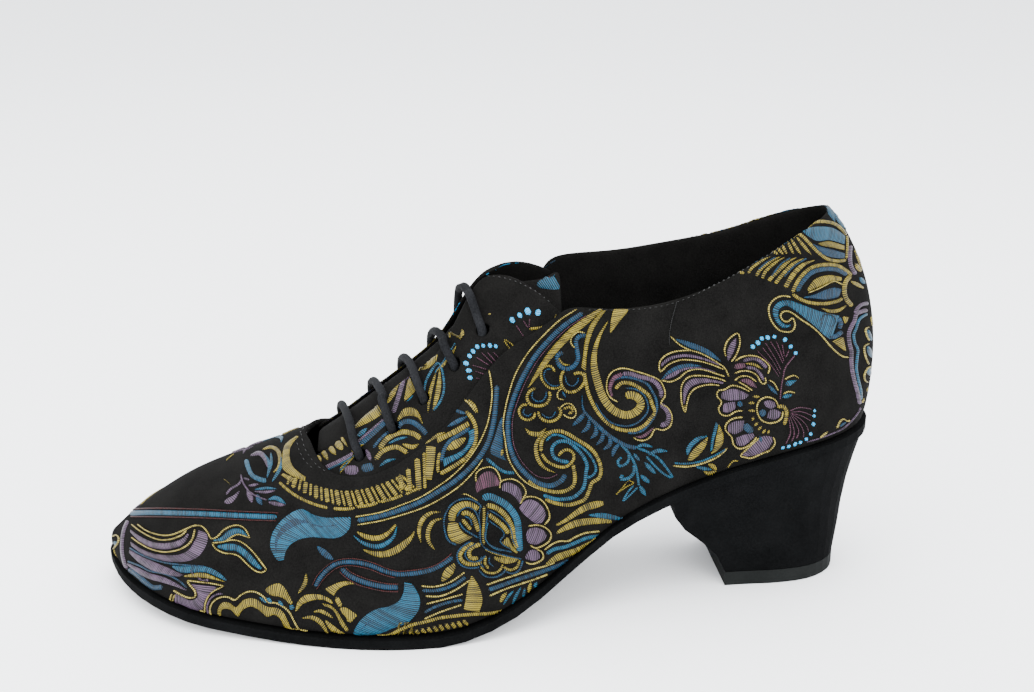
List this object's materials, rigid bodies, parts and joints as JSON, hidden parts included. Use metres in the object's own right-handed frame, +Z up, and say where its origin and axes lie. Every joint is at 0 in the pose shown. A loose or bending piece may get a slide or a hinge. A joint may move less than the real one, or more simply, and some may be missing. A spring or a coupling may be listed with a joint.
{
  "type": "tango shoe",
  "caption": "Lace-up tango practice shoe in black fabric stitched with paisley and flowers, with a pointed toe, a thin suede sole and a covered block heel.",
  "frame": {"origin": "centre of the bounding box in plan, on the floor that the heel tip and the tread stand on", "axes": "+X from the heel to the toe, +Y to the wearer's left, which is the outer side, +Z up"},
  "size_m": [0.2382, 0.0808, 0.1168],
  "materials": {
    "upper_fabric": "matte black cloth with raised satin-stitch paisley and flowers in gold, blue and lilac",
    "facing_fabric": "matte black cloth with the same stitching, edge stitched",
    "tongue_fabric": "matte black cloth, blue stitching at the free end",
    "sole_suede": "black suede, short nap; the heel block is covered with it",
    "insole_leather": "smooth black lining leather",
    "heel_tip_rubber": "matte black rubber",
    "lace_cord": "round braided cord, dark grey"
  },
  "bodies": {
    "root": {"upper": "upper_fabric", "facing_outer": "facing_fabric", "facing_inner": "facing_fabric", "tongue": "tongue_fabric", "outsole": "sole_suede", "insole": "insole_leather", "heel": "sole_suede", "heel_tip": "heel_tip_rubber", "lace_bar_1": "lace_cord", "lace_bar_2": "lace_cord", "lace_bar_3": "lace_cord", "lace_bar_4": "lace_cord", "lace_bar_5": "lace_cord"}
  },
  "joints": []
}
